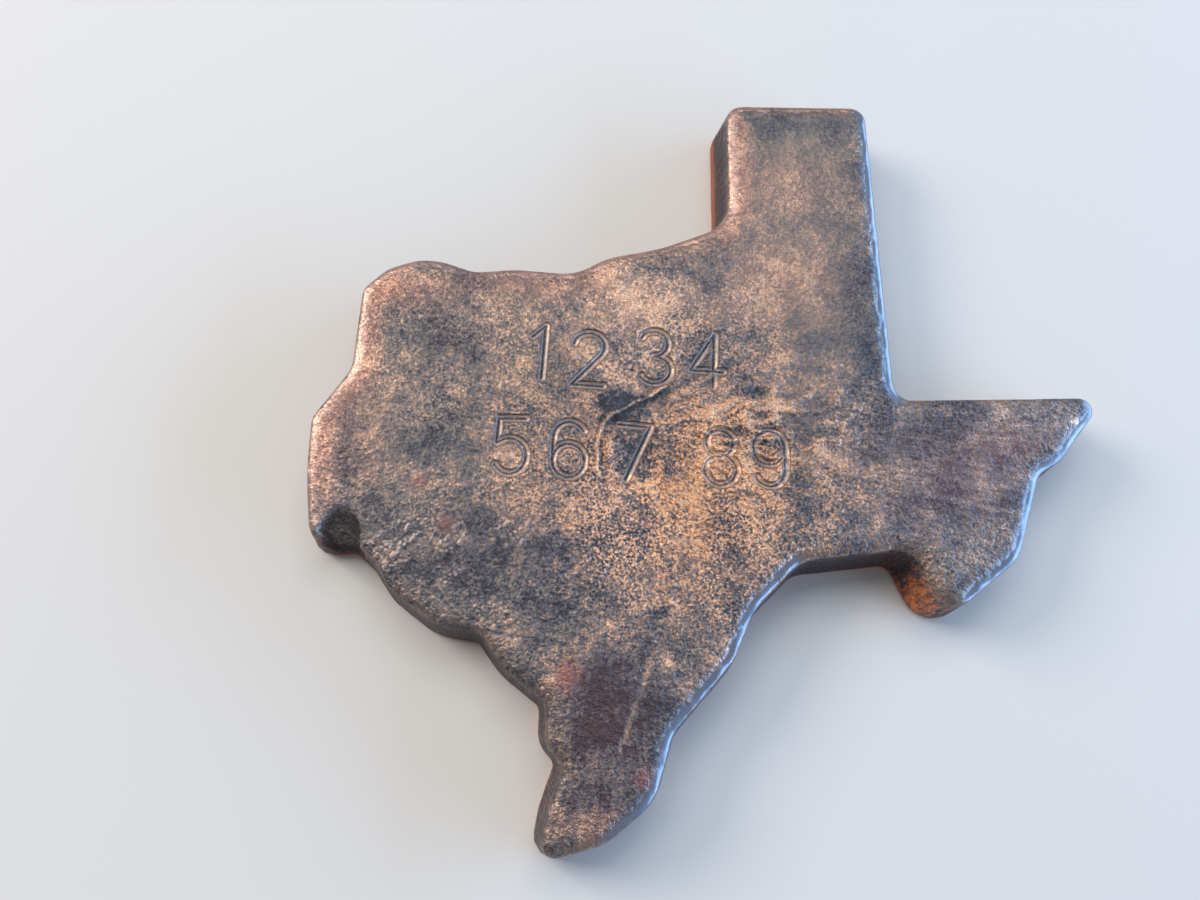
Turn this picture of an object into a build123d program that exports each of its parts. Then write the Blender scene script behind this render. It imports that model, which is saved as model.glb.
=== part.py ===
from build123d import *
import os
from math import radians, tan

# A flat copper ingot, cast in one piece in the outline of the state of Texas, seen mirrored.
# It lies on its wide poured face. X runs towards the western tip, Y to the north, Z up.
# All sizes are in millimetres.

# Section of the casting
thickness = 8.5
draft_angle = 8.0
top_edge_radius = 1.1
base_edge_radius = 0.8

# Panhandle, the square block at the north
panhandle_west = 20.7
panhandle_width = 18.2
panhandle_top = 44.8
panhandle_top_rise = 0.7
panhandle_east_side = 17.2
panhandle_west_lean = 1.4
panhandle_corner_radius = 2.0
north_inner_radius = 5.0

# Western arm, with its straight northern edge
arm_edge = 5.1
arm_edge_rise = 1.3
arm_length = 26.2
arm_tip_radius = 1.5
arm_inner_radius = 2.2

# Corners of the uneven stretches of the top rim, each with the radius that rounds it off
river_upper = [
    (41.8, -1.7, 5.0),
    (38.9, -3.5, 2.5),
    (35.6, -13.5, 4.5),
    (26.7, -20.6, 2.7),
    (23.0, -12.7, 2.6),
    (10.0, -14.4, 4.5),
]
river_lower = [
    (4.5, -20.0, 8.0),
    (1.9, -25.9, 4.0),
    (-4.8, -33.6, 4.0),
    (-6.8, -40.5, 6.0),
]
southern_tip = [
    (-11.7, -44.7, 6.0),
    (-18.9, -46.7, 1.3),
    (-18.1, -41.9, 4.0),
]
gulf_coast = [
    (-16.4, -37.0, 2.0),
    (-18.5, -34.8, 2.2),
    (-18.5, -30.6, 2.0),
    (-23.3, -27.0, 6.0),
    (-26.2, -23.1, 2.0),
    (-31.2, -22.4, 5.0),
    (-36.3, -18.6, 5.0),
    (-38.5, -15.3, 5.0),
]
eastern_border = [
    (-41.3, -12.9, 2.0),
    (-45.6, -13.3, 1.5),
    (-46.7, -5.3, 30.0),
    (-46.7, 0.8, 2.0),
    (-42.6, 7.0, 4.0),
    (-42.2, 17.2, 2.0),
    (-39.4, 19.9, 4.0),
]
red_river = [
    (-34.6, 21.7, 8.0),
    (-29.0, 19.8, 4.0),
    (-24.1, 20.4, 8.0),
    (-16.6, 20.1, 6.0),
    (-12.9, 22.4, 8.0),
    (-6.0, 24.1, 10.0),
]

# Groove at the foot of the eastern border, which leans out of the casting and dies away before its base
groove_middle = (-42.4, -12.1)
groove_radius = 2.3
groove_lean = 30.0


def panhandle_corners():
    """The inner corner at the east, the two top corners and the inner corner above the arm."""
    east = panhandle_west - panhandle_width
    return [
        (east, panhandle_top - panhandle_east_side, north_inner_radius),
        (east, panhandle_top, panhandle_corner_radius),
        (panhandle_west, panhandle_top + panhandle_top_rise, panhandle_corner_radius),
        (panhandle_west + panhandle_west_lean, arm_edge, arm_inner_radius),
    ]


def arm_tip():
    """The sharp western end of the arm."""
    reach = panhandle_west + panhandle_west_lean + arm_length
    return [(reach, arm_edge + arm_edge_rise, arm_tip_radius)]


def top_rim():
    """The outline where the walls meet the stamped face."""
    corners = [
        *panhandle_corners(),
        *arm_tip(),
        *river_upper,
        *river_lower,
        *southern_tip,
        *gulf_coast,
        *eastern_border,
        *red_river,
    ]
    points = [(x, y) for x, y, radius in corners]
    radii = [radius for x, y, radius in corners]
    return make_face(FilletPolyline(*points, radius=radii, close=True))


def border_groove():
    """The round groove that notches the top rim and leans towards the south as it goes down."""
    x, y = groove_middle
    place = Location((x, y, thickness), (-groove_lean, 0, 0))
    return place * Cylinder(groove_radius, 3 * thickness)


def ingot():
    """The casting, wider at its base by the draft of the mould, with both rims rounded."""
    base = offset(top_rim(), thickness * tan(radians(draft_angle)))
    casting = extrude(base, amount=thickness, taper=draft_angle)
    top = casting.faces().sort_by(Axis.Z)[-1]
    casting = fillet(top.edges(), top_edge_radius)
    bottom = casting.faces().sort_by(Axis.Z)[0]
    return fillet(bottom.edges(), base_edge_radius) - border_groove()


def centred_on_base(shape):
    """The shape with the middle of its base at the origin."""
    box = shape.bounding_box()
    middle = box.center()
    return shape.moved(Location((-middle.X, -middle.Y, -box.min.Z)))


os.makedirs("parts", exist_ok=True)
part = centred_on_base(ingot())
part.label = "ingot"
export_step(part, "parts/ingot.step")
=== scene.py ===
import itertools
import math

import bpy
import numpy as np
from mathutils import Matrix, Vector
from mathutils.geometry import delaunay_2d_cdt


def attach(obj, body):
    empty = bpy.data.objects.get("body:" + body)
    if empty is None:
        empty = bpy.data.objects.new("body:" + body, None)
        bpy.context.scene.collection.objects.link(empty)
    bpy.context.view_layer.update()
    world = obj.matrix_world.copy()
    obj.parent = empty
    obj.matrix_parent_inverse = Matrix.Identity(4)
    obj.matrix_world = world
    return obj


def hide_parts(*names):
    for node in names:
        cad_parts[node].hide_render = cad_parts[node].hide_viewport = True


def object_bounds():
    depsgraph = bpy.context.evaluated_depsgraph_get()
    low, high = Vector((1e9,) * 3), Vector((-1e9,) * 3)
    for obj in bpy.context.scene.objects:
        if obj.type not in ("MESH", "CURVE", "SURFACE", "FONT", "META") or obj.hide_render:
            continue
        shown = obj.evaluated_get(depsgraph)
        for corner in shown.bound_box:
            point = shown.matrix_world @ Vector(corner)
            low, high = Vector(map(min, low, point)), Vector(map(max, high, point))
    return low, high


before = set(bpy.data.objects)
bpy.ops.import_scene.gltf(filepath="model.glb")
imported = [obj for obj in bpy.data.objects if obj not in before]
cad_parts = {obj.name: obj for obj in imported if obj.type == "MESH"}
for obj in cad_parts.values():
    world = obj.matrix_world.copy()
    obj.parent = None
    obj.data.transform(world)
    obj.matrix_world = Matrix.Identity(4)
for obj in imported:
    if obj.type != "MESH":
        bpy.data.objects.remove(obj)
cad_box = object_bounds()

# Lengths below are millimetres, and MM turns them into metres
MM = 0.001

# Section of the casting, as in the frame
TOP_EDGE_RADIUS = 1.1
BASE_EDGE_RADIUS = 0.8
DRAFT = math.radians(8.0)
THICKNESS = (cad_box[1].z - cad_box[0].z) / MM

# Steps of the section round the top edge, down the wall and round the base edge
TOP_EDGE_STEPS = 8
WALL_STEPS = 15
BASE_EDGE_STEPS = 6

# Mesh spacing, the stamps' one within STAMP_REACH of a stroke, and how far grid points shift, as a
# share of the spacing
RIM_SPACING = 0.40
FACE_SPACING = 0.34
STAMP_SPACING = 0.115
GROOVE_SPACING = 0.2
STAMP_REACH = 1.0
BASE_SPACING = 1.3
GRID_SHIFT = 0.12
STAMP_ZONE = ((-26.5, -7.0), (10.0, 15.5))
GROOVE_ZONE = ((-45.8, -15.5), (-38.8, -7.4))

# Middle of the stamped face, from which its folds and its grain run outwards
GRAIN_CENTRE = np.array([-10.5, 0.5])

# Strokes of the stamped digits, wider to the right by the slant, and the part of their depth where
# the darker floor sets in
DIGIT_SIZE = (3.7, 6.6)
STROKE_HALF_WIDTH = 0.56
STROKE_DEPTH = 0.32
STROKE_SLANT = np.array([0.42, -0.12])
STROKE_ROUNDING = 0.07
STROKE_FLOOR = (0.62, 0.92)

# Stamped digits: text, middle of its foot, turn in degrees
DIGITS = [
    ("1", (-20.6, 6.8), -3.0),
    ("2", (-15.0, 6.1), -2.0),
    ("3", (-6.8, 6.6), 1.0),
    ("4", (-0.9, 6.4), -2.0),
    ("5", (-23.6, -4.9), 1.0),
    ("6", (-17.0, -5.1), -1.0),
    ("7", (-9.8, -5.3), -4.0),
    ("8", (0.8, -5.5), 1.0),
    ("9", (6.5, -5.5), -1.0),
]

# Waves of the stamped face, fine ones within it, and those of the walls: height, size and the seed
# of the noise
BROAD_WAVES = [(0.05, 9.0, 1), (0.04, 3.5, 2)]
FINE_WAVES = [(0.02, 0.55, 6), (0.035, 1.2, 7)]
WALL_WAVES = [(0.04, 2.5, 8)]
SMALL_WALL_WAVES = [(0.03, 1.0, 9)]
WALL_DROP = 0.06

# Folds: their height and soft spot, the noise that bends them, and their noise cells round the
# centre and out from it
FOLD_HEIGHT = 0.36
FOLD_SPOT = ((4.0, 2.0), (17.0, 11.0))
FOLD_BEND = (1.0, 3.0, (11, 12))
FOLD_CELLS = (16.0, 0.25)

# Faint lines that run out from the centre, in the same way
LINE_HEIGHT = 0.05
LINE_CELLS = (22.0, 0.5)

# Creases: their height and soft spot, the slant that draws them out, and the size of a crease and
# of a cluster
CREASE_HEIGHT = 0.20
CREASE_SPOT = ((-28.0, -14.0), (19.0, 13.0))
CREASE_SLANT = np.array([[0.37, -0.92, 0.0], [0.26, 1.31, 0.0], [0.0, 0.0, 1.0]])
CREASE_SIZE = 0.9
CREASE_CLUSTER = 3.0

# Rough pit: the height and soft spot of its relief, and the spots that it darkens
PIT_HEIGHT = 0.24
PIT_SPOT = ((-10.5, 1.0), (4.0, 5.5))
PIT_STAINS = [((-10.4, 3.4), (4.6, 3.2)), ((-9.2, -2.6), (3.6, 4.4))]

# Curved ridge beside the pit, the noise that bends it, and the hollow along it
PIT_RIDGE = np.array([
    (-5.8, 6.2), (-8.0, 4.4), (-10.6, 3.4), (-13.0, 1.2), (-13.7, -1.8), (-13.2, -5.0),
])
RIDGE_BEND = (0.35, 1.6, (15, 16))
RIDGE_HEIGHT, RIDGE_WIDTH = 0.13, 0.28
HOLLOW_MOVE, HOLLOW_DEPTH, HOLLOW_WIDTH = (0.6, -0.3), 0.15, 0.42

# Thin bright scratch above the southern tip
SCRATCH = np.array([(-7.2, -25.5), (-8.6, -29.5), (-10.6, -35.0)])
SCRATCH_DEPTH, SCRATCH_WIDTH = 0.05, 0.2

# How far the stamped face lies below the solid's, which keeps its waves near it, and how much
# deeper it lies at the edge
FACE_DROP = 0.15
EDGE_DROP = 0.14
EDGE_DROP_REACH = 0.7

# Groove that leans out of the eastern foot, as in the solid, how far along it the casting is cut,
# and how softly it ends
GROOVE_MIDDLE = np.array([-42.3, -11.7])
GROOVE_RADIUS = 2.3
GROOVE_LEAN = math.tan(math.radians(30.0))
GROOVE_INSET = 0.25
GROOVE_SPAN = (-7.0, 8.0)
GROOVE_EDGE = 0.45
CLEAR_OF_CASTING = 9.0

# Darkness of the face before its patches, and how much darker the walls are, which start this far
# beyond its flat
FACE_DARK = 0.04
WALL_DARK = 0.42
WALL_START = (0.9, 1.4)

# Patches of the stamped face: middle, size, how much darker, how much redder
PATCHES = [
    ((-3.0, -7.0), (17.0, 13.0), -0.29, 0.0),
    ((-12.0, 8.0), (9.0, 5.0), -0.10, 0.0),
    ((8.0, 4.0), (10.0, 8.0), -0.06, 0.0),
    ((-28.0, -14.0), (13.0, 8.5), 0.22, 0.05),
    ((-31.5, 11.5), (5.0, 5.0), 0.20, 0.1),
    ((-24.0, 10.0), (10.0, 9.0), -0.05, 0.0),
    # Painted sheen: lighter above the digits, and slightly redder
    ((-7.0, 16.0), (13.0, 4.5), -0.32, 0.1),
    ((-20.0, 2.0), (6.0, 5.0), 0.06, 0.0),
    ((29.0, -4.0), (15.0, 10.0), 0.19, 0.35),
    ((18.0, -8.0), (9.0, 5.0), -0.04, 0.0),
    ((36.0, 1.0), (7.0, 4.0), -0.02, 0.4),
    ((12.0, 42.4), (9.0, 2.2), 0.26, 0.0),
    # Lighter and warmer on the panhandle: a warmer tone, and partly a painted sheen
    ((11.0, 34.0), (8.0, 6.0), -0.17, 0.30),
    ((9.0, 21.0), (12.0, 7.0), -0.30, 0.3),
    ((17.5, 17.5), (3.4, 7.0), 0.30, 0.0),
    ((19.5, 9.5), (3.0, 5.0), 0.22, 0.0),
    ((-12.0, -32.0), (9.0, 12.0), 0.45, 0.25),
    # Painted glint: a small pale speck near the arm's tip
    ((44.0, 3.6), (0.9, 0.6), -1.0, -0.3),
    ((-13.0, -42.5), (6.0, 3.0), -0.22, 0.5),
    ((-41.0, -1.0), (5.0, 9.0), -0.05, 0.3),
    ((-37.0, 17.0), (7.0, 3.0), -0.22, 0.5),
    ((-22.0, 18.6), (14.0, 2.6), -0.14, 0.5),
    ((-6.5, -20.4), (1.5, 1.2), 0.50, 0.0),
    ((-5.3, -25.8), (1.3, 1.2), -0.80, -0.4),
    ((-13.2, -36.8), (1.8, 2.6), -0.30, 0.1),
    ((-16.4, -27.2), (1.9, 2.2), 0.0, 1.2),
    ((-7.9, -37.9), (1.3, 1.6), 0.0, 1.0),
    ((-33.8, -6.2), (1.4, 1.2), 0.0, 0.8),
    ((-30.4, -11.0), (1.2, 1.4), 0.0, 0.8),
    ((-5.2, -4.2), (1.1, 1.6), 0.55, 0.0),
]

# Lines in the colour of the face: how much darker, width, and how far the shade lies from the ridge
FOLD_DARK, CREASE_DARK, PIT_STAIN_DARK = -0.62, -0.35, 0.40
SHADE_DARK, SHADE_WIDTH, SHADE_MOVE = 0.22, 0.35, (0.5, -0.3)
RIDGE_DARK, RIDGE_LINE_WIDTH = -0.60, 0.18
SCRATCH_DARK, SCRATCH_LINE_WIDTH = -0.45, 0.25
STROKE_FLOOR_DARK = 0.45
# Painted shade in the recess of the leaning groove: how much darker
NOTCH_SHADE = 0.24

# Band inside the eastern rim, worn and partly a painted warm highlight: middle and width from the
# edge, how much darker, how much redder
BAND_MIDDLE, BAND_WIDTH = 0.9, 1.3
BAND_DARK, BAND_RED = -0.24, 0.5

# Line round the top edge, worn, and carrying the painted highlight and blue reflection of the rims:
# how far beyond the flat it lies, its width, and how far and how finely it wavers
RIM_MIDDLE, RIM_WIDTH = 0.55, 0.6
RIM_WAVER, RIM_WAVER_SIZE = 0.25, 0.9

# Soft spots: warmer with a coarser grain, drawn out in streaks, calm, and with a taller worn foot
# and painted warm reflection
GLOW_SPOT = ((-3.0, -6.0), (26.0, 24.0))
SWEPT_SPOTS = [((-13.0, -36.0), (11.0, 15.0)), ((33.0, -3.0), (18.0, 11.0))]
CALM_SPOT, HALF_CALM_SPOT = ((12.0, 36.0), (14.0, 22.0)), ((14.0, 14.0), (12.0, 9.0))
# The worn foot and its painted warm reflection from below reach higher on the panhandle's eastern
# wall
TALL_FOOT_SPOT = ((1.5, 36.0), (7.0, 16.0))
TALL_FOOT = 1.4
FOOT_EDGE = (0.3, 1.7)

# Streaks of the face, as noise cells round the centre and out from it, and of the walls, as the
# radius in noise cells of the circle that they are wound on, and as cells up the wall
FACE_STREAKS = (48.0, 0.28)
WALL_STREAKS = 90.0
WALL_STREAK_RISE = 0.35

# Patches of the walls: middle, size, how much darker
WALL_PATCHES = [
    # Painted shade on the wall under the arm, for a dark floor reflected there
    ((17.0, -14.0), (9.0, 4.0), 0.40),
    ((25.5, -17.0), (3.6, 5.0), -0.75),
    ((-30.0, -23.0), (16.0, 10.0), 0.42),
    ((35.0, 7.0), (16.0, 2.5), 0.35),
    # Painted shade on the panhandle's eastern wall, for dark surroundings reflected there
    ((2.0, 36.0), (4.0, 12.0), 0.22),
]

# Colours along the oxide's thickness, as the eye sees them, 0 to 255: warm face, paler face, walls
WARM_RAMP = [
    (0.05, (236, 176, 130)),
    (0.34, (178, 128, 98)),
    (0.56, (118, 102, 95)),
    (0.80, (76, 74, 78)),
    (1.00, (44, 43, 47)),
]
PALE_RAMP = [
    (0.05, (214, 176, 148)),
    (0.34, (152, 130, 117)),
    (0.56, (116, 108, 104)),
    (0.80, (80, 80, 86)),
    (1.00, (46, 45, 50)),
]
WALL_RAMP = [
    (0.05, (226, 132, 72)),
    (0.40, (150, 90, 62)),
    (0.68, (86, 58, 58)),
    (1.00, (44, 32, 42)),
]

# Single colours: red stain, worn rim with a painted warm highlight, worn stroke, painted blue
# reflection on the western rim, worn foot with a painted warm reflection
RED_STAIN = (168, 96, 82)
# Rim worn to the metal, partly a painted warm highlight
WORN_RIM_WITH_HIGHLIGHT = (206, 162, 146)
WORN_STROKE = (190, 172, 164)
# Painted blue reflection on the western rims, which face the blue lamp
WEST_RIM_REFLECTION = (128, 138, 154)
# Foot worn to the metal, partly a painted warm reflection from below
WORN_FOOT_WITH_REFLECTION = (176, 96, 62)

# Scales of the material's noise, in features a metre
PATCH_SCALE = 170.0
LUMP_SCALE = 1750.0
GRAIN_SCALE = 3200.0
UNEVEN_SCALE = 120.0

# Height of the material's finest relief, in metres
BUMP_HEIGHT = 0.00034

# Floor: half its side in metres, colour and finish
FLOOR_REACH = 3.0
FLOOR_COLOUR = (0.72, 0.70, 0.67)
FLOOR_ROUGHNESS = 0.7
FLOOR_SPECULAR = 0.15

# Lamps: name, place in metres, size in metres, power in watts, colour
LAMPS = [
    ("back", (-0.12, 0.48, 0.84), (1.0, 0.5), 4.9, (0.96, 0.98, 1.0)),
    ("right", (0.68, 0.0, 0.17), (1.1, 0.32), 9.5, (0.34, 0.60, 1.0)),
    ("left", (-0.62, 0.30, 0.42), (0.4, 0.3), 4.0, (1.0, 0.91, 0.82)),
]
WORLD_COLOUR = (0.9, 0.93, 1.0)
WORLD_STRENGTH = 0.25

# Camera: place from the middle of the base, the way it looks, turn in degrees, focal length and
# width of the sensor
CAMERA_PLACE = (-18.0, -28.9, 110.2)
CAMERA_FORWARD = (0.0453, 0.2564, -0.9656)
CAMERA_ROLL = 11.4
FOCAL_LENGTH = 27.3
SENSOR_WIDTH = 36.0

# Noise table for the shapes
NOISE_TABLE = np.random.default_rng(7).uniform(-1.0, 1.0, 4096)
HASH_STEPS = np.array([73856093, 19349663, 83492791])


def noise(points, cell, seed):
    """Smooth noise between -1 and 1 at each point, with features about one cell wide."""
    grid = points / cell + 17.3 * seed
    corner = np.floor(grid).astype(np.int64)
    part = grid - corner
    weight = part * part * (3.0 - 2.0 * part)
    total = np.zeros(len(points))
    for step in itertools.product((0, 1), repeat=3):
        step = np.array(step)
        hashed = np.bitwise_xor.reduce((corner + step) * HASH_STEPS, axis=1)
        share = np.where(step == 1, weight, 1.0 - weight).prod(axis=1)
        total += share * NOISE_TABLE[(hashed ^ (hashed >> 13)) % len(NOISE_TABLE)]
    return total


def smooth_step(low, high, value):
    """0 below low, 1 above high, and smooth between."""
    share = np.clip((value - low) / (high - low), 0.0, 1.0)
    return share * share * (3.0 - 2.0 * share)


def face_edge(node, height, tolerance=0.002):
    """The edge of a node's flat face at this height, as points in order, counter-clockwise."""
    mesh = node.data
    points = np.array([vertex.co for vertex in mesh.vertices]) / MM
    level = np.abs(points[:, 2] - height) < tolerance
    keys = [tuple(place) for place in np.round(points[:, :2], 3).tolist()]
    uses = {}
    for polygon in mesh.polygons:
        corners = list(polygon.vertices)
        if level[corners].all():
            for a, b in zip(corners, corners[1:] + corners[:1]):
                side = frozenset((keys[a], keys[b]))
                uses[side] = uses.get(side, 0) + 1
    links = {}
    for side, count in uses.items():
        if count == 1 and len(side) == 2:
            a, b = side
            links.setdefault(a, []).append(b)
            links.setdefault(b, []).append(a)
    start = min(links)
    chain = [start]
    previous, here = None, start
    while len(chain) <= len(links):
        following = [key for key in links[here] if key != previous]
        previous, here = here, following[0]
        if here == start:
            break
        chain.append(here)
    loop = np.array(chain)
    x, y = loop.T
    turn = np.sum(x * np.roll(y, -1) - y * np.roll(x, -1))
    return loop if turn > 0 else loop[::-1]


def resampled(loop, count, measure=None):
    """A closed loop with this many points, even along its length or along a given measure."""
    closed = np.vstack([loop, loop[:1]])
    if measure is None:
        measure = np.hypot(*np.diff(closed, axis=0).T)
    reach = np.concatenate([[0.0], np.cumsum(measure)])
    places = np.linspace(0.0, reach[-1], count, endpoint=False)
    return np.column_stack([np.interp(places, reach, closed[:, k]) for k in (0, 1)])


def length_of(loop):
    """Length round a closed loop."""
    return np.hypot(*(np.roll(loop, -1, axis=0) - loop).T).sum()


def smoothed(loop, passes):
    """A closed loop with its corners eased."""
    for _ in range(passes):
        loop = 0.25 * np.roll(loop, 1, axis=0) + 0.5 * loop + 0.25 * np.roll(loop, -1, axis=0)
    return loop


def outward(loop):
    """Unit normals of a counter-clockwise loop, pointing out of it."""
    along = np.roll(loop, -1, axis=0) - np.roll(loop, 1, axis=0)
    along /= np.hypot(*along.T)[:, None]
    return np.column_stack([along[:, 1], -along[:, 0]])


def rim_loop(node):
    """The edge of the flat of the base, with its normals, from which every ring is laid off.

    Its points are spaced by its own length and by that of a loop inside it, so that the rings laid
    inwards don't crowd in the hollows.
    """
    fine_spacing, passes, inset = 0.05, 40, 1.4
    loop = face_edge(node, 0.0)
    fine = smoothed(resampled(loop, int(length_of(loop) / fine_spacing)), passes)
    narrow = fine - outward(fine) * inset
    step = np.hypot(*(np.roll(fine, -1, axis=0) - fine).T)
    step += 2.0 * np.hypot(*(np.roll(narrow, -1, axis=0) - narrow).T)
    fine = resampled(fine, int(length_of(fine) / RIM_SPACING), step)
    return fine, outward(fine)


def section():
    """Outward move and height of each ring, from the stamped face down to the base."""
    profile = []
    for angle in np.linspace(math.pi / 2, DRAFT, TOP_EDGE_STEPS):
        drop = TOP_EDGE_RADIUS * (1.0 - math.sin(angle))
        profile.append((TOP_EDGE_RADIUS * math.cos(angle), THICKNESS - drop))
    shoulder = TOP_EDGE_RADIUS * math.cos(DRAFT)
    rim_height = THICKNESS - TOP_EDGE_RADIUS * (1.0 - math.sin(DRAFT))
    foot_height = BASE_EDGE_RADIUS * (1.0 + math.sin(DRAFT))
    for height in np.linspace(rim_height, foot_height, WALL_STEPS)[1:]:
        profile.append((shoulder + (rim_height - height) * math.tan(DRAFT), height))
    foot = profile[-1][0] - BASE_EDGE_RADIUS * math.cos(DRAFT)
    for angle in np.linspace(DRAFT, -math.pi / 2, BASE_EDGE_STEPS)[1:]:
        rise = BASE_EDGE_RADIUS * (1.0 + math.sin(angle))
        profile.append((foot + BASE_EDGE_RADIUS * math.cos(angle), rise))
    last = profile[-1][0]
    return [(move - last, height) for move, height in profile]


def nearest_of(points, targets, batch_size=2000):
    """The nearest target to each point."""
    nearest = np.empty_like(points)
    for start in range(0, len(points), batch_size):
        batch = points[start:start + batch_size]
        gaps = ((batch[:, None, :] - targets[None, :, :]) ** 2).sum(axis=2)
        nearest[start:start + batch_size] = targets[gaps.argmin(axis=1)]
    return nearest


def distance_to(points, targets):
    """Distance from each point to the nearest target."""
    return np.hypot(*(points - nearest_of(points, targets)).T)


def inside(points, loop):
    """Whether each point lies within a closed loop."""
    found = np.zeros(len(points), bool)
    x, y = points.T
    for (ax, ay), (bx, by) in zip(loop, np.roll(loop, -1, axis=0)):
        if ay != by:
            crosses = ((ay > y) != (by > y)) & (x < (bx - ax) * (y - ay) / (by - ay) + ax)
            found ^= crosses
    return found


def grid(low, high, spacing, seed):
    """Points of a triangular grid over a box, each moved a little so that no row shows."""
    xs = np.arange(low[0], high[0], spacing)
    ys = np.arange(low[1], high[1], spacing * math.sqrt(3) / 2)
    x, y = np.meshgrid(xs, ys)
    x[1::2] += spacing / 2
    points = np.column_stack([x.ravel(), y.ravel()])
    shifts = np.random.default_rng(seed).uniform(-GRID_SHIFT, GRID_SHIFT, points.shape)
    return points + shifts * spacing


def in_zone(points, zone):
    """Whether each point lies in a box given by two corners."""
    return ((points > zone[0]) & (points < zone[1])).all(axis=1)


def near_stamp(points):
    """Whether each point lies close to a stamped stroke or to the ridge beside the pit."""
    close = in_zone(points, STAMP_ZONE)
    lines = np.vstack([stroke_points(), along(PIT_RIDGE)])
    close[close] = distance_to(points[close], lines) < STAMP_REACH
    return close


def face_points(loop):
    """Points inside the stamped face, closer together at the digits, the ridge and the groove."""
    low, high = loop.min(axis=0), loop.max(axis=0)
    coarse = grid(low, high, FACE_SPACING, 1)
    stamps = grid(*STAMP_ZONE, STAMP_SPACING, 2)
    groove = grid(*GROOVE_ZONE, GROOVE_SPACING, 3)
    coarse = coarse[~near_stamp(coarse) & ~in_zone(coarse, GROOVE_ZONE)]
    points = np.vstack([coarse, stamps[near_stamp(stamps)], groove])
    points = points[inside(points, loop)]
    return points[distance_to(points, loop) > 0.6 * RIM_SPACING]


def base_points(loop):
    """Points inside the flat of the base."""
    points = grid(loop.min(axis=0), loop.max(axis=0), BASE_SPACING, 3)
    points = points[inside(points, loop)]
    return points[distance_to(points, loop) > 0.6 * BASE_SPACING]


def filled(loop, points):
    """Triangles between a loop and the points inside it, as indices into the two put together."""
    together = np.vstack([loop, points])
    count = len(loop)
    sides = [(k, (k + 1) % count) for k in range(count)]
    made = delaunay_2d_cdt([Vector(point) for point in together], sides, [], 0, 1e-7, True)
    triangles, origin = made[2], made[3]
    corners = np.array([[origin[corner][0] for corner in triangle] for triangle in triangles])
    middles = together[corners].mean(axis=1)
    return corners[inside(middles, loop)]


def arc(middle, radii, start, end, count=24):
    """Points along part of an ellipse, angles in degrees."""
    (x, y), (wide, high) = middle, radii
    angles = np.radians(np.linspace(start, end, count))
    return [(x + wide * math.cos(a), y + high * math.sin(a)) for a in angles]


# Strokes of each digit in a box one wide and one high
STROKES = {
    "1": [[(0.15, 0.78), (0.55, 1.0), (0.55, 0.0)]],
    "2": [arc((0.5, 0.74), (0.5, 0.26), 170, -35) + [(0.0, 0.0), (1.0, 0.0)]],
    "3": [arc((0.45, 0.76), (0.45, 0.24), 150, -90) + arc((0.45, 0.26), (0.52, 0.26), 90, -150)],
    "4": [[(0.75, 0.0), (0.75, 1.0), (0.0, 0.3), (1.05, 0.3)]],
    "5": [[(0.95, 1.0), (0.12, 1.0), (0.06, 0.56)] + arc((0.46, 0.32), (0.52, 0.32), 120, -150)],
    "6": [arc((0.5, 0.7), (0.5, 0.3), 30, 180) + arc((0.5, 0.3), (0.5, 0.3), 180, -180, 40)],
    "7": [[(0.0, 1.0), (1.0, 1.0), (0.35, 0.0)]],
    "8": [arc((0.5, 0.76), (0.43, 0.24), 0, 360, 40), arc((0.5, 0.27), (0.5, 0.27), 0, 360, 40)],
    "9": [arc((0.5, 0.7), (0.5, 0.3), 0, 360, 40) + arc((0.5, 0.3), (0.5, 0.3), 0, -150)],
}


def stroke_points(spacing=0.06):
    """Points closely along the middle of every stamped stroke."""
    found = []
    for text, foot, turn in DIGITS:
        c, s = math.cos(math.radians(turn)), math.sin(math.radians(turn))
        for stroke in STROKES[text]:
            line = (np.array(stroke) - (0.5, 0.0)) * DIGIT_SIZE
            line = line @ np.array([[c, s], [-s, c]]) + foot
            for a, b in zip(line[:-1], line[1:]):
                steps = max(2, int(np.hypot(*(b - a)) / spacing))
                found.append(a + np.linspace(0.0, 1.0, steps)[:, None] * (b - a))
    return np.vstack(found)


def stroke_depth(points):
    """How deep the stamped strokes are at each point. Their walls are steeper at the left."""
    depth = np.zeros(len(points))
    near = in_zone(points, STAMP_ZONE)
    offset = points[near] - nearest_of(points[near], stroke_points())
    gap = np.hypot(*offset.T)
    lean = 1.0 + (offset @ STROKE_SLANT) / np.maximum(gap, 0.05)
    share = np.hypot(gap / (STROKE_HALF_WIDTH * lean), STROKE_ROUNDING)
    depth[near] = STROKE_DEPTH * np.clip(1.0 - share, 0.0, None)
    return depth


def polar(points, turns, reach):
    """Places in the noise that stretch it into streaks running out from the grain centre.

    turns is the radius of a circle round the centre in noise cells, and reach the cells in each
    millimetre outwards.
    """
    away = points - GRAIN_CENTRE
    radius = np.hypot(*away.T)
    across = away / np.maximum(radius, 0.01)[:, None] * turns
    return np.column_stack([across, radius * reach])


def blob(points, middle, size):
    """1 at the middle of a soft spot, falling to 0 about one size away."""
    return np.exp(-2.0 * (((points - middle) / size) ** 2).sum(axis=1))


def along(line, spacing=0.1):
    """Points closely along a line of a few corners."""
    parts = []
    for a, b in zip(line[:-1], line[1:]):
        steps = max(2, int(np.hypot(*(b - a)) / spacing))
        parts.append(a + np.linspace(0.0, 1.0, steps)[:, None] * (b - a))
    return np.vstack(parts)


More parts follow.
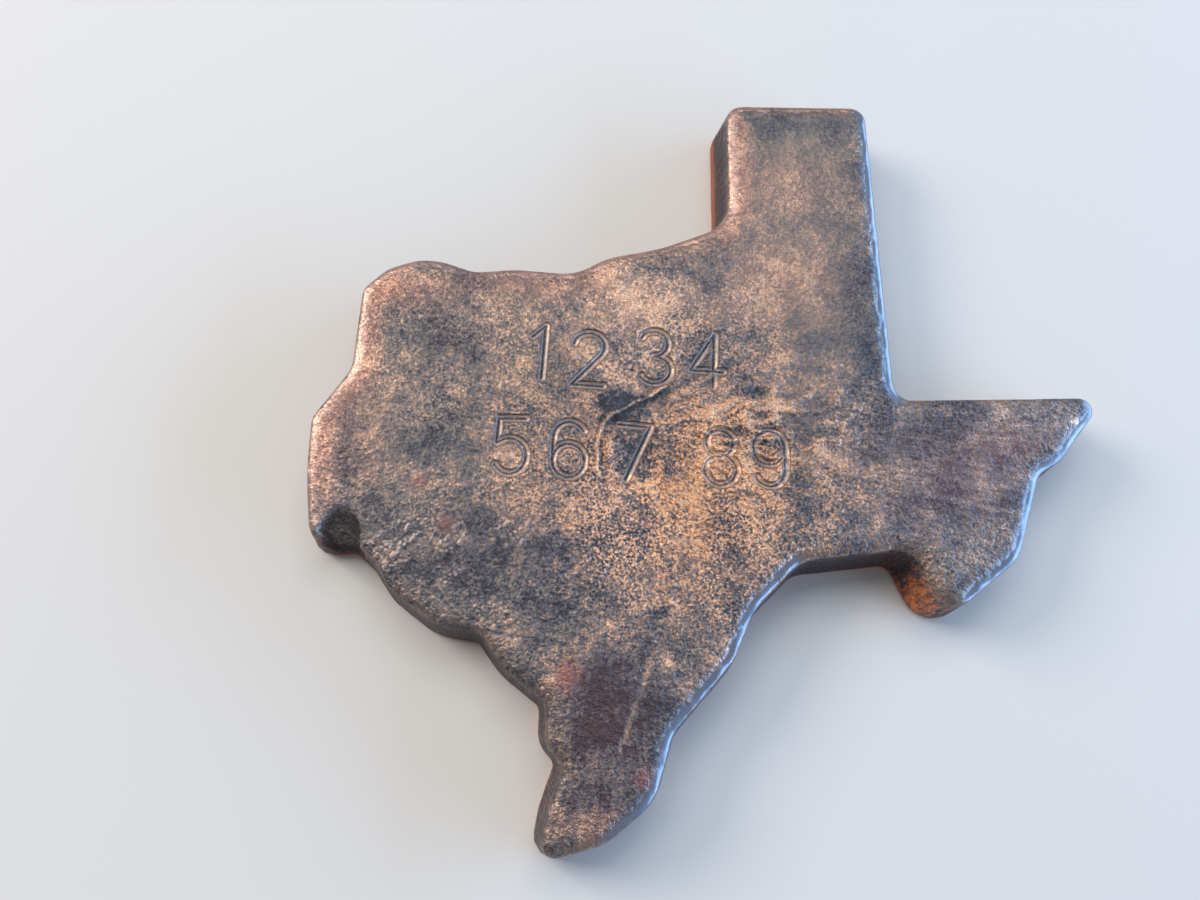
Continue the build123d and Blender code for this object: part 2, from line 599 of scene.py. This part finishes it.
def crest(points, line, width):
    """1 on a line, falling to 0 about two widths away."""
    result = np.zeros(len(points))
    margin = 4 * width
    near = in_zone(points, (np.min(line, axis=0) - margin, np.max(line, axis=0) + margin))
    result[near] = np.exp(-((distance_to(points[near], along(line)) / width) ** 2))
    return result


def flat(points):
    """Places on the plane of the face, as the noise takes them."""
    return np.column_stack([points, np.zeros(len(points))])


def waves(places, table):
    """Noise of several sizes put together."""
    return sum(height * noise(places, size, seed) for height, size, seed in table)


def bent(points, reach, size, seeds):
    """Points moved about by noise, so that a line laid through them wavers."""
    return points + reach * np.column_stack([noise(flat(points), size, seed) for seed in seeds])


def folds(points):
    """Folds that run out from the grain centre, between minus a half and a half at most."""
    places = polar(bent(points, *FOLD_BEND), *FOLD_CELLS)
    fold = 0.5 - 2.0 * np.abs(noise(places, 1.0, 3))
    return np.clip(fold, -0.5, 0.5) * blob(points, *FOLD_SPOT)


def creases(points):
    """Short slanting creases near the south-eastern rim, 1 on their crests."""
    line = np.clip(1.0 - 6.0 * np.abs(noise(flat(points) @ CREASE_SLANT, CREASE_SIZE, 4)), 0.0, 1.0)
    clusters = smooth_step(-0.2, 0.5, noise(flat(points), CREASE_CLUSTER, 13))
    return np.minimum(1.0, 1.3 * line * clusters * blob(points, *CREASE_SPOT))


def face_relief(points, edge_gap):
    """Height of the stamped face above its plane: waves, folds, creases, pit and digits."""
    height = waves(flat(points), BROAD_WAVES)
    outer = smooth_step(2.5, 7.0, np.hypot(*(points - GRAIN_CENTRE).T))
    within = smooth_step(0.0, 1.4, edge_gap)
    height += FOLD_HEIGHT * outer * folds(points)
    height += LINE_HEIGHT * outer * within * noise(polar(points, *LINE_CELLS), 1.0, 10)
    height += CREASE_HEIGHT * creases(points) * within
    height += PIT_HEIGHT * noise(flat(points), 0.8, 5) * blob(points, *PIT_SPOT)
    wavering = bent(points, *RIDGE_BEND)
    height += RIDGE_HEIGHT * crest(wavering, PIT_RIDGE, RIDGE_WIDTH)
    height -= HOLLOW_DEPTH * crest(wavering, PIT_RIDGE + HOLLOW_MOVE, HOLLOW_WIDTH)
    height -= SCRATCH_DEPTH * crest(points, SCRATCH, SCRATCH_WIDTH)
    height += within * waves(flat(points), FINE_WAVES)
    height -= FACE_DROP + EDGE_DROP * np.exp(-edge_gap / EDGE_DROP_REACH)
    return height - stroke_depth(points)


def groove_surface(points):
    """Height of the leaning groove's back wall, clear of the casting where there is none."""
    across = (points[:, 0] - GROOVE_MIDDLE[0]) / GROOVE_RADIUS
    bulge = np.sqrt(np.clip(1.0 - across ** 2, 0.0, None)) * GROOVE_RADIUS
    bulge *= math.hypot(1.0, GROOVE_LEAN)
    behind = GROOVE_MIDDLE[1] + bulge - points[:, 1]
    height = THICKNESS - (behind - GROOVE_INSET) / GROOVE_LEAN
    start, end = (GROOVE_MIDDLE[1] + reach for reach in GROOVE_SPAN)
    outside = (np.abs(across) >= 1.0) | (points[:, 1] > end) | (points[:, 1] < start)
    return np.where(outside, THICKNESS + CLEAR_OF_CASTING, height)


def carve_groove(points):
    """Lower the points that stand in the groove to its wall, with a rounded edge."""
    surface = groove_surface(points)
    share = np.clip(0.5 + 0.5 * (points[:, 2] - surface) / GROOVE_EDGE, 0.0, 1.0)
    lowered = points[:, 2] * (1.0 - share) + surface * share - GROOVE_EDGE * share * (1.0 - share)
    points[:, 2] = np.maximum(np.minimum(points[:, 2], lowered), 0.0)
    return points


def store(mesh, name, values):
    """Keep a number or a vector for every point of the mesh, for the material to read."""
    kind, part = ("FLOAT_VECTOR", "vector") if values.ndim == 2 else ("FLOAT", "value")
    layer = mesh.attributes.new(name, kind, "POINT")
    layer.data.foreach_set(part, np.ascontiguousarray(values, dtype=np.float32).ravel())


def uneven_walls(rim, normals, profile):
    """Points of the walls, ring by ring from the stamped face down, with their slight waves."""
    count, upward = len(rim), 0.3
    rings = [np.column_stack([rim + normals * move, np.full(count, z)]) for move, z in profile]
    walls = np.vstack(rings)
    slopes = np.tile(np.column_stack([normals, np.full(count, upward)]), (len(rings), 1))
    wobble = waves(walls, SMALL_WALL_WAVES) * smooth_step(0.8, 2.2, THICKNESS - walls[:, 2])
    wobble += waves(walls, WALL_WAVES) - WALL_DROP
    wobble *= smooth_step(0.0, 0.5, walls[:, 2])
    return walls + slopes * wobble[:, None]


def wall_faces(count, ring_count):
    """Four-sided faces between each ring of the walls and the next."""
    here = np.arange(count)
    following = (here + 1) % count
    faces = []
    for start in range(0, (ring_count - 1) * count, count):
        a, b = start + here, start + following
        faces.extend(np.column_stack([a, a + count, b + count, b]).tolist())
    return faces


def cap_faces(loop, points, loop_start, points_start):
    """Triangles that fill a loop, numbered as in the mesh, where the two start at these places."""
    corners = filled(loop, points)
    in_loop = corners < len(loop)
    return np.where(in_loop, corners + loop_start, corners - len(loop) + points_start)


def ingot_mesh(node):
    """The casting as one closed mesh, finer than the solid, with its relief."""
    rim, normals = rim_loop(node)
    profile = section()
    count = len(rim)
    top, base = (rim + normals * profile[end][0] for end in (0, -1))
    face, under = face_points(top), base_points(base)
    walls = uneven_walls(rim, normals, profile)
    gaps = distance_to(face, top)
    edge_gap = np.concatenate([np.zeros(count), gaps])
    relief = face_relief(np.vstack([walls[:count, :2], face]), edge_gap)
    for ring, share in enumerate(np.linspace(1.0, 0.0, TOP_EDGE_STEPS + 1)[:-1]):
        walls[ring * count:(ring + 1) * count, 2] += share * relief[:count]
    inward = (nearest_of(face, top) - face)[:, 0] / np.maximum(gaps, 0.05)
    walls = carve_groove(walls)
    face = carve_groove(np.column_stack([face, THICKNESS + relief[count:]]))
    points = np.vstack([walls, face, flat(under)])

    last, after = len(walls) - count, len(walls) + len(face)
    faces = wall_faces(count, len(profile))
    faces += cap_faces(top, face[:, :2], 0, len(walls)).tolist()
    faces += cap_faces(base, under, last, after)[:, ::-1].tolist()
    mesh = bpy.data.meshes.new("copper_ingot")
    mesh.from_pydata((points * MM).tolist(), [], faces)
    mesh.shade_smooth()

    moves = np.repeat([move - profile[0][0] for move, z in profile], count)
    beyond = np.concatenate([moves, -gaps, np.full(len(under), moves.max())])
    turn = np.tile(2.0 * math.pi * np.arange(count) / count, len(profile))
    facing = np.concatenate([np.tile(normals[:, 0], len(profile)), inward, np.zeros(len(under))])
    store_looks(mesh, points, beyond, turn, facing)
    mesh.update()
    return mesh


def face_and_wall_tones(points, beyond, facing, on_wall):
    """How dark and how red each point is, before the strokes of the digits."""
    plan, height = points[:, :2], points[:, 2]
    on_face = 1.0 - on_wall
    dark = np.full(len(points), FACE_DARK)
    red = np.zeros(len(points))
    for middle, size, darker, redder in PATCHES:
        spot = blob(plan, middle, size) * on_face
        dark += darker * spot
        red += redder * spot
    dark += (FOLD_DARK * folds(plan) + CREASE_DARK * creases(plan)) * on_face
    pit = np.maximum(*[blob(plan, *spot) for spot in PIT_STAINS])
    pit += 0.30 * noise(flat(plan), 1.0, 14)
    dark += PIT_STAIN_DARK * smooth_step(0.36, 0.50, pit) * on_face
    wavering = bent(plan, *RIDGE_BEND)
    dark += SHADE_DARK * crest(wavering, PIT_RIDGE + SHADE_MOVE, SHADE_WIDTH) * on_face
    dark += RIDGE_DARK * crest(wavering, PIT_RIDGE, RIDGE_LINE_WIDTH) * on_face
    dark += SCRATCH_DARK * crest(plan, SCRATCH, SCRATCH_LINE_WIDTH) * on_face
    # Lighter, redder band inside the eastern rim: wear, and partly a painted warm highlight
    band = np.exp(-((beyond + BAND_MIDDLE) / BAND_WIDTH) ** 2) * smooth_step(0.2, 0.6, -facing)
    band *= smooth_step(-12.0, -4.0, plan[:, 1])
    dark += BAND_DARK * band
    red += BAND_RED * band
    dark += WALL_DARK * on_wall
    for middle, size, darker in WALL_PATCHES:
        dark += darker * on_wall * blob(plan, middle, size)
    # Painted shade in the recess that the leaning groove cuts below the stamped face
    notch_shade = smooth_step(-0.3, 0.6, THICKNESS - 0.7 - height) * (groove_surface(points) < THICKNESS)
    dark += NOTCH_SHADE * notch_shade * smooth_step(0.6, 2.5, height)
    return dark, red


def wall_streaks(turn, height):
    """Places in the noise that stretch it into upright streaks on the walls."""
    places = np.zeros((len(height), 3))
    places[:len(turn), :2] = WALL_STREAKS * np.column_stack([np.cos(turn), np.sin(turn)])
    places[:, 2] = WALL_STREAK_RISE * height
    return places


def store_looks(mesh, points, beyond, turn, facing):
    """What the material reads at each point of the casting.

    beyond is how far each point lies outside the flat of the stamped face, negative within it.
    turn is how far round the outline the points of the walls lie, as an angle.
    facing is how far the nearest outline faces west, from -1 to 1.
    """
    plan, height = points[:, :2], points[:, 2]
    on_wall = smooth_step(*WALL_START, beyond)
    dark, red = face_and_wall_tones(points, beyond, facing, on_wall)
    depth = np.where(beyond < 0.0, np.clip(stroke_depth(plan) / STROKE_DEPTH, 0.0, 1.0), 0.0)
    stroke_floor = smooth_step(*STROKE_FLOOR, depth)
    worn = np.minimum(1.0, 4.0 * depth) * (1.0 - stroke_floor)
    waver = RIM_WAVER * noise(flat(plan), RIM_WAVER_SIZE, 17)
    rim = np.exp(-((beyond - RIM_MIDDLE + waver) / RIM_WIDTH) ** 2)
    north = smooth_step(-14.0, 2.0, plan[:, 1]) * (1.0 - smooth_step(18.0, 19.0, plan[:, 0]))
    west = smooth_step(0.2, 0.6, facing)
    swept = 1.3 * np.maximum(*[blob(plan, *spot) for spot in SWEPT_SPOTS])
    calm = blob(plan, *CALM_SPOT) + 0.5 * blob(plan, *HALF_CALM_SPOT)
    low, high = (edge + TALL_FOOT * blob(plan, *TALL_FOOT_SPOT) for edge in FOOT_EDGE)
    looks = {
        "dark": dark + STROKE_FLOOR_DARK * stroke_floor,
        "streak": polar(plan, *FACE_STREAKS),
        "swept": np.minimum(1.0, swept),
        "drawn": wall_streaks(turn, height),
        "wall": on_wall,
        "red": red,
        "glow": blob(plan, *GLOW_SPOT),
        "pressed": np.maximum(worn, creases(plan) * (1.0 - on_wall)),
        "rim": rim,
        # Rims worn to the metal and partly a painted warm highlight, strongest on the northern rims
        # away from the arm
        "rim_wear_and_highlight": rim * (0.10 + 0.90 * north),
        # Painted blue reflection on the western rims, which face the blue lamp
        "painted_blue_reflection": rim * west,
        "even": rim * (0.30 + 0.70 * np.maximum(0.35 * north, west)),
        "calm": np.clip(calm, 0.0, 1.0),
        # Foot of the walls worn to the metal, partly a painted warm reflection from below
        "foot": on_wall * (1.0 - smooth_step(low, high, height)),
    }
    for name, values in looks.items():
        store(mesh, name, values)


class Nodes:
    """Short calls for the nodes of one material."""

    def __init__(self, name):
        self.material = bpy.data.materials.new(name)
        self.material.use_nodes = True
        self.tree = self.material.node_tree
        self.shader = self.tree.nodes["Principled BSDF"]

    def connect(self, value, socket):
        """Link another node's output to a socket, or write a number or colour in it."""
        if isinstance(value, bpy.types.NodeSocket):
            self.tree.links.new(value, socket)
        else:
            socket.default_value = value

    def field(self, name, output="Fac"):
        """A value kept on the mesh."""
        node = self.tree.nodes.new("ShaderNodeAttribute")
        node.attribute_name = name
        return node.outputs[output]

    def place(self):
        """The point's place in the object."""
        return self.tree.nodes.new("ShaderNodeTexCoord").outputs["Object"]

    def noise(self, vector, scale, detail, roughness):
        """Noise about 0.5."""
        node = self.tree.nodes.new("ShaderNodeTexNoise")
        self.connect(vector, node.inputs["Vector"])
        node.inputs["Scale"].default_value = scale
        node.inputs["Detail"].default_value = detail
        node.inputs["Roughness"].default_value = roughness
        return node.outputs["Fac"]

    def math(self, kind, *values):
        """One sum of the kind that is named."""
        node = self.tree.nodes.new("ShaderNodeMath")
        node.operation = kind
        for value, socket in zip(values, node.inputs):
            self.connect(value, socket)
        return node.outputs["Value"]

    def times(self, a, b):
        """The product of two values."""
        return self.math("MULTIPLY", a, b)

    def scaled(self, value, size, shift):
        """A value times a size, plus a shift."""
        return self.math("MULTIPLY_ADD", value, size, shift)

    def spread(self, value, size):
        """A noise turned into a number that runs from minus to plus half its size."""
        return self.scaled(value, size, -0.5 * size)

    def total(self, *values):
        """The sum of several values."""
        result = values[0]
        for value in values[1:]:
            result = self.math("ADD", result, value)
        return result

    def ramp(self, value, stops):
        """Colours along a value."""
        node = self.tree.nodes.new("ShaderNodeValToRGB")
        self.connect(value, node.inputs["Fac"])
        elements = node.color_ramp.elements
        while len(elements) < len(stops):
            elements.new(0.5)
        for element, (position, colour) in zip(elements, stops):
            element.position = position
            element.color = linear(*colour)
        return node.outputs["Color"]

    def mix(self, share, first, second):
        """Two colours mixed."""
        node = self.tree.nodes.new("ShaderNodeMix")
        node.data_type = "RGBA"
        node.clamp_factor = True
        self.connect(share, node.inputs["Factor"])
        self.connect(first, node.inputs[6])
        self.connect(second, node.inputs[7])
        return node.outputs[2]

    def bump(self, height, distance):
        """Fine relief in the shading."""
        node = self.tree.nodes.new("ShaderNodeBump")
        self.connect(height, node.inputs["Height"])
        node.inputs["Strength"].default_value = 1.0
        node.inputs["Distance"].default_value = distance
        return node.outputs["Normal"]


def linear(red, green, blue):
    """A colour as the eye sees it, 0 to 255, as the shader needs it."""
    return (*(((value / 255 + 0.055) / 1.055) ** 2.4 for value in (red, green, blue)), 1.0)


def oxide_layer(nodes, lumps, streaks, lively):
    """How thick the oxide is, from the mesh, broken up by patches, grains, lumps and streaks."""
    wall, swept = nodes.field("wall"), nodes.field("swept")
    place = nodes.place()
    patches = nodes.noise(place, PATCH_SCALE, 9.0, 0.72)
    grain = nodes.noise(place, GRAIN_SCALE, 2.0, 0.6)
    drawn = nodes.noise(nodes.field("drawn", "Vector"), 1.0, 4.0, 0.7)
    uneven = nodes.scaled(nodes.noise(place, UNEVEN_SCALE, 2.0, 0.5), 2.4, -0.2)
    grain_size = nodes.times(lively, nodes.scaled(nodes.field("glow"), 1.5, 1.2))
    grain_size = nodes.times(grain_size, uneven)
    lump_size = nodes.scaled(swept, -0.5, 1.0)
    combed = nodes.times(nodes.spread(streaks, 1.0), nodes.scaled(swept, 1.15, 0.25))
    on_face = nodes.math("SUBTRACT", 1.0, wall)
    return nodes.total(
        nodes.field("dark"),
        0.5,
        nodes.times(nodes.spread(patches, 2.1), lively),
        nodes.times(nodes.spread(grain, 1.0), grain_size),
        nodes.times(nodes.times(nodes.spread(lumps, -0.9), lively), lump_size),
        nodes.times(combed, nodes.times(on_face, lively)),
        nodes.times(nodes.spread(drawn, 2.6), wall),
    )


def copper_colour(nodes, oxide):
    """The colour of the face with its stains and worn edges, and of the walls and their foot, with
    the painted highlight and reflections of the rims and the foot.
    """
    pale, warm = nodes.ramp(oxide, PALE_RAMP), nodes.ramp(oxide, WARM_RAMP)
    colour = nodes.mix(nodes.field("glow"), pale, warm)
    # Rim worn to the metal where the oxide is thin, partly a painted warm highlight
    rim_wear_and_highlight = nodes.times(nodes.field("rim_wear_and_highlight"), nodes.scaled(oxide, -1.6, 1.3))
    layers = [
        (nodes.times(nodes.field("red"), 0.45), linear(*RED_STAIN)),
        (rim_wear_and_highlight, linear(*WORN_RIM_WITH_HIGHLIGHT)),
        (nodes.times(nodes.field("pressed"), 0.50), linear(*WORN_STROKE)),
        # Painted blue reflection on the western rims
        (nodes.times(nodes.field("painted_blue_reflection"), 0.85), linear(*WEST_RIM_REFLECTION)),
        (nodes.field("wall"), nodes.ramp(oxide, WALL_RAMP)),
        # Foot worn to the metal, partly a painted warm reflection from below
        (nodes.times(nodes.field("foot"), 0.85), linear(*WORN_FOOT_WITH_REFLECTION)),
    ]
    for share, layer in layers:
        colour = nodes.mix(share, colour, layer)
    return colour


def copper():
    """Aged copper: dark oxide worn through to the metal in grains and streaks, with painted light
    and shade in its colour.
    """
    nodes = Nodes("aged_copper")
    even, pressed = nodes.field("even"), nodes.field("pressed")
    lumps = nodes.noise(nodes.place(), LUMP_SCALE, 3.0, 0.62)
    streaks = nodes.noise(nodes.field("streak", "Vector"), 1.0, 5.0, 0.7)
    lively = nodes.scaled(nodes.field("calm"), -0.50, 1.0)
    lively = nodes.times(lively, nodes.scaled(even, -0.6, 1.0))
    oxide = oxide_layer(nodes, lumps, streaks, lively)
    polish = nodes.scaled(nodes.field("rim"), -0.06, nodes.times(pressed, 0.12))
    smoother = nodes.math("SUBTRACT", 1.0, nodes.times(nodes.math("MAXIMUM", even, pressed), 0.92))
    relief = nodes.total(lumps, nodes.times(streaks, 0.35))
    relief = nodes.times(relief, nodes.times(smoother, lively))
    inputs = nodes.shader.inputs
    nodes.connect(copper_colour(nodes, oxide), inputs["Base Color"])
    nodes.connect(nodes.scaled(oxide, -0.35, 0.75), inputs["Metallic"])
    nodes.connect(nodes.total(nodes.scaled(oxide, 0.14, 0.28), polish), inputs["Roughness"])
    nodes.connect(nodes.bump(relief, BUMP_HEIGHT), inputs["Normal"])
    return nodes.material


def floor_finish():
    """The plain pale material of the floor."""
    material = bpy.data.materials.new("pale_floor")
    material.use_nodes = True
    inputs = material.node_tree.nodes["Principled BSDF"].inputs
    inputs["Base Color"].default_value = (*FLOOR_COLOUR, 1.0)
    inputs["Roughness"].default_value = FLOOR_ROUGHNESS
    inputs["Specular IOR Level"].default_value = FLOOR_SPECULAR
    return material


def add_floor():
    """A wide pale floor at the foot of the ingot."""
    corners = [(-1, -1), (1, -1), (1, 1), (-1, 1)]
    mesh = bpy.data.meshes.new("floor")
    corners = [(x * FLOOR_REACH, y * FLOOR_REACH, 0.0) for x, y in corners]
    mesh.from_pydata(corners, [], [(0, 1, 2, 3)])
    mesh.materials.append(floor_finish())
    floor = bpy.data.objects.new("floor", mesh)
    bpy.context.scene.collection.objects.link(floor)


def add_lamp(name, place, size, power, colour):
    """A soft rectangular lamp that points at the ingot."""
    lamp = bpy.data.lights.new(name, "AREA")
    lamp.shape = "RECTANGLE"
    lamp.size, lamp.size_y = size
    lamp.energy = power
    lamp.color = colour
    holder = bpy.data.objects.new(name, lamp)
    holder.location = place
    holder.rotation_euler = (-Vector(place)).to_track_quat("-Z", "Y").to_euler()
    bpy.context.scene.collection.objects.link(holder)


def add_lights():
    """A pale lamp high at the back, a blue one low at the right, a small warm one at the left."""
    for lamp in LAMPS:
        add_lamp(*lamp)
    world = bpy.data.worlds.new("studio")
    world.use_nodes = True
    background = world.node_tree.nodes["Background"]
    background.inputs["Color"].default_value = (*WORLD_COLOUR, 1.0)
    background.inputs["Strength"].default_value = WORLD_STRENGTH
    bpy.context.scene.world = world


def add_camera():
    """The camera at the photograph's angle, looking down from the south."""
    camera = bpy.data.cameras.new("camera")
    camera.sensor_width = SENSOR_WIDTH
    camera.lens = FOCAL_LENGTH
    camera.clip_start = 0.005
    holder = bpy.data.objects.new("camera", camera)
    turn = Vector(CAMERA_FORWARD).to_track_quat("-Z", "Y").to_matrix()
    turn = turn @ Matrix.Rotation(math.radians(CAMERA_ROLL), 3, "Z")
    holder.matrix_world = Matrix.Translation(Vector(CAMERA_PLACE) * MM) @ turn.to_4x4()
    bpy.context.scene.collection.objects.link(holder)
    bpy.context.scene.camera = holder


mesh = ingot_mesh(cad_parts["ingot"])
mesh.materials.append(copper())
ingot = bpy.data.objects.new("cast_ingot", mesh)
bpy.context.scene.collection.objects.link(ingot)
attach(ingot, "root")
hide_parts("ingot")

add_floor()
add_lights()
add_camera()
bpy.context.scene.view_settings.view_transform = "Standard"
